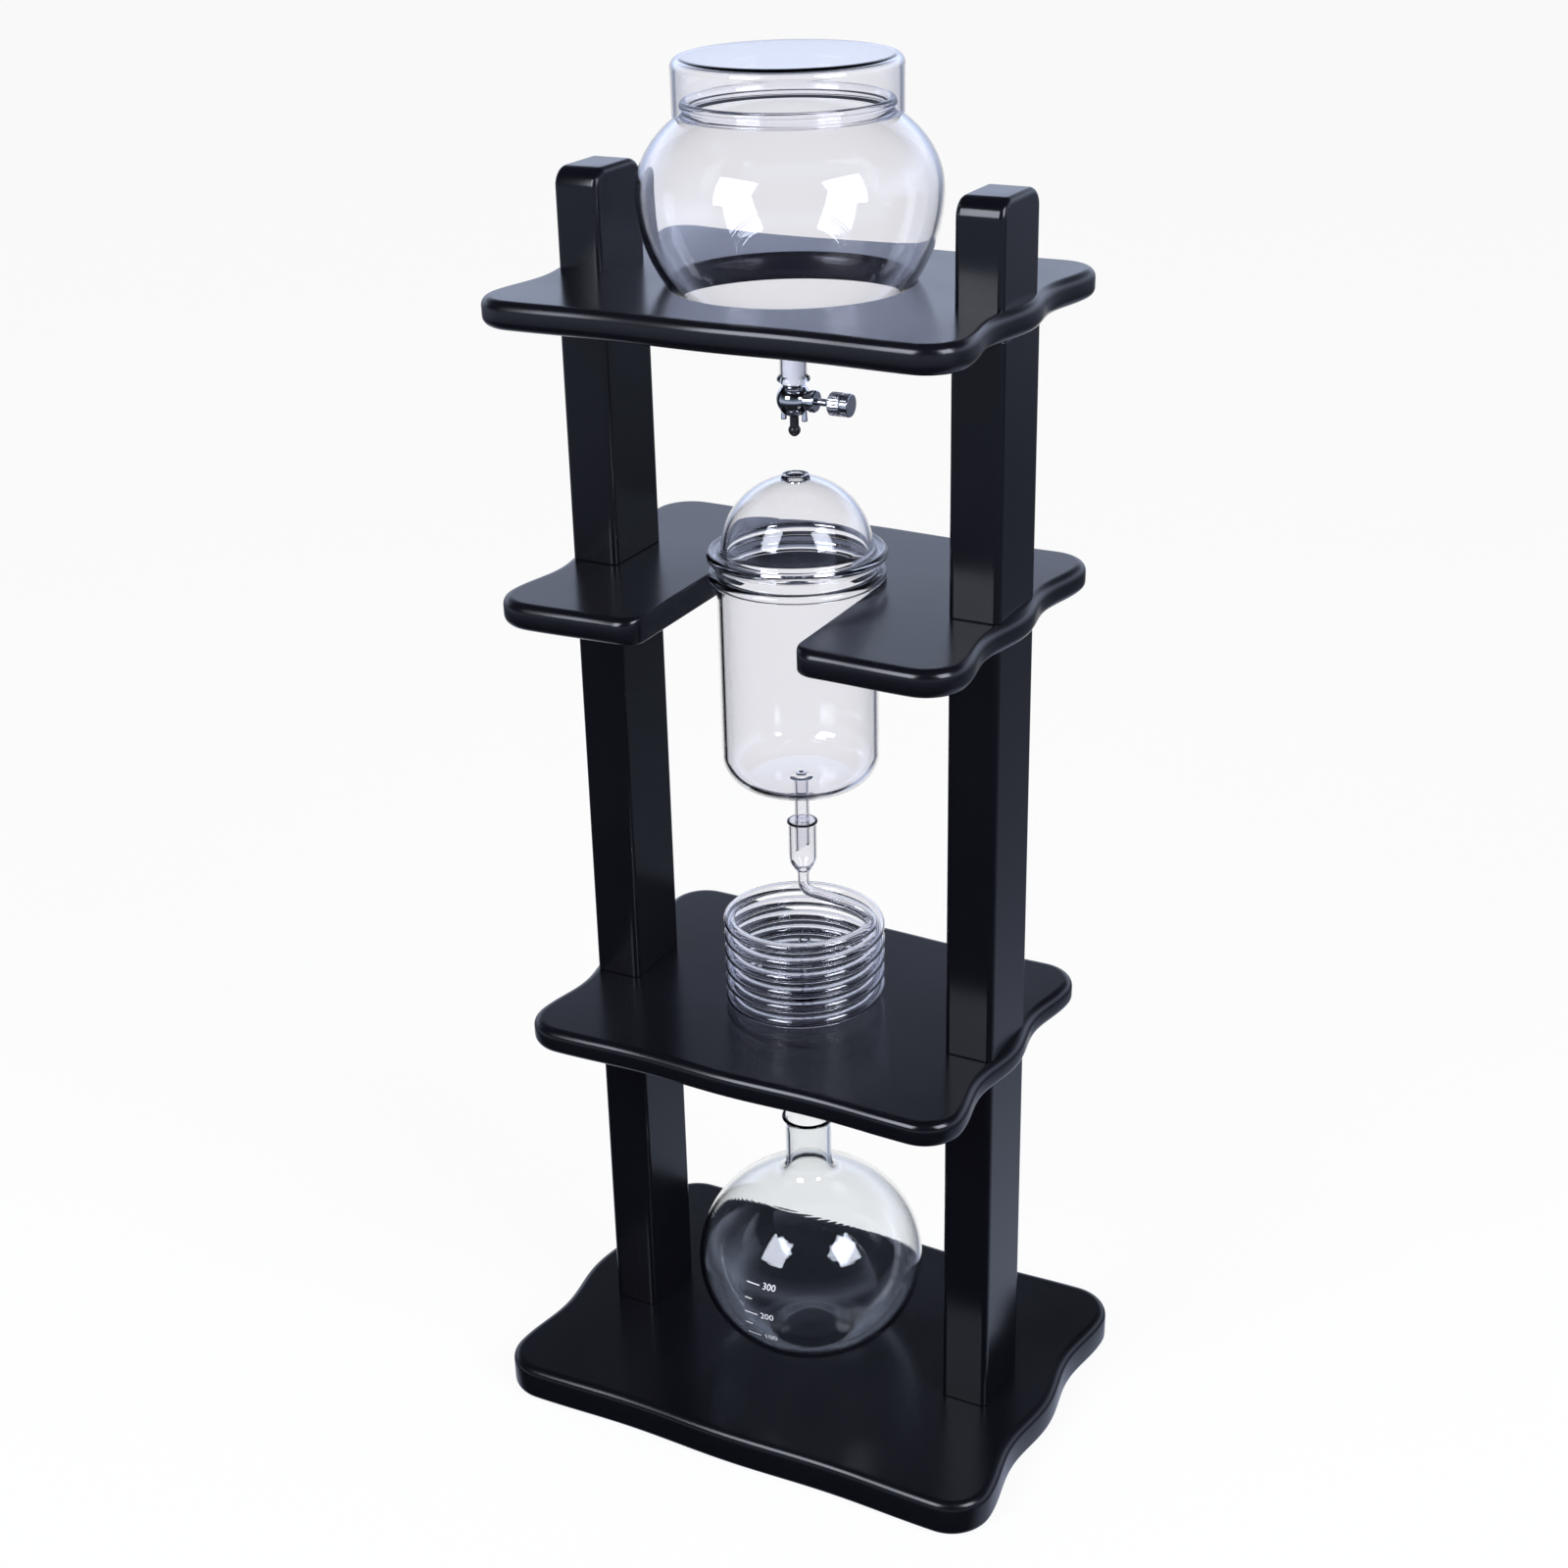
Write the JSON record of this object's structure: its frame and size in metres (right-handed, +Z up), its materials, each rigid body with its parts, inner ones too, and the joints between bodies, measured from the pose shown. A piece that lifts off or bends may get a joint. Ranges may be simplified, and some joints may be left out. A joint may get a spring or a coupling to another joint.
{
  "type": "cold-drip coffee tower",
  "caption": "Free-standing drip tower: wavy-edged boards on two columns of posts, water globe with needle valve, domed chamber, glass coil and round flask.",
  "frame": {"origin": "centre of the underside of the base board, under the axis of the glassware", "axes": "+Z up, +X towards the valve knob and the right column of posts, -Y towards the open side of the middle shelf"},
  "size_m": [0.254, 0.182, 0.63],
  "materials": {
    "black_base": "semi-gloss black paint on wood",
    "black_shelf": "semi-gloss black paint on wood",
    "black_post": "semi-gloss black paint on wood",
    "rod_steel": "plain zinc-plated steel",
    "insert_brass": "turned",
    "clear_glass": "clear blown glass",
    "flask_glass": "clear blown glass with white graduations",
    "white_silicone": "translucent white silicone",
    "valve_chrome": "polished",
    "dark_nozzle": "glossy dark plastic",
    "seal_rubber": "soft rubber"
  },
  "bodies": {
    "frame": {"base_board": "black_base", "lower_shelf": "black_shelf", "middle_shelf": "black_shelf", "top_shelf": "black_shelf", "left_lower_post": "black_post", "right_lower_post": "black_post", "left_middle_post": "black_post", "right_middle_post": "black_post", "left_upper_post": "black_post", "right_upper_post": "black_post", "left_finial": "black_post", "right_finial": "black_post", "left_tie_rod": "rod_steel", "right_tie_rod": "rod_steel", "rod_nuts": "rod_steel", "rod_washers": "rod_steel", "finial_inserts": "insert_brass"},
    "globe": {"water_globe": "clear_glass", "outlet_sleeve": "white_silicone", "valve_body": "valve_chrome", "valve_nozzle": "dark_nozzle", "stem_seal": "seal_rubber", "gland_nut": "valve_chrome"},
    "lid": {"globe_lid": "clear_glass"},
    "needle": {"valve_needle": "rod_steel"},
    "knob": {"valve_knob": "valve_chrome"},
    "chamber": {"brew_chamber": "clear_glass"},
    "dome": {"drip_dome": "clear_glass"},
    "coil": {"coil_funnel": "clear_glass", "coil_turns_tube": "clear_glass", "coil_down_tube": "clear_glass"},
    "flask": {"flask": "flask_glass"}
  },
  "joints": [
    {"name": "globe_lift", "type": "slide", "parent": "frame", "child": "globe", "axis": [0, 0, 1], "range_m": [0, 0.08]},
    {"name": "lid_lift", "type": "slide", "parent": "globe", "child": "lid", "axis": [0, 0, 1], "range_m": [0, 0.04]},
    {"name": "needle_travel", "type": "slide", "parent": "globe", "child": "needle", "axis": [1, 0, 0], "range_m": [0, 0.002]},
    {"name": "valve_turn", "type": "hinge", "parent": "needle", "child": "knob", "pos_m": [0.02, 0, 0.4913], "axis": [1, 0, 0], "range_deg": [0, 920]},
    {"name": "chamber_lift", "type": "slide", "parent": "frame", "child": "chamber", "axis": [0, 0, 1], "range_m": [0, 0.0165]},
    {"name": "dome_lift", "type": "slide", "parent": "chamber", "child": "dome", "axis": [0, 0, 1], "range_m": [0, 0.015]},
    {"name": "coil_lift", "type": "slide", "parent": "frame", "child": "coil", "axis": [0, 0, 1], "range_m": [0, 0.004]},
    {"name": "flask_slide", "type": "slide", "parent": "frame", "child": "flask", "axis": [0, -1, 0], "range_m": [0, 0.2]}
  ],
  "couplings": [
    {"joint": "valve_turn", "follows": "needle_travel", "rad_per_m": 7854}
  ]
}
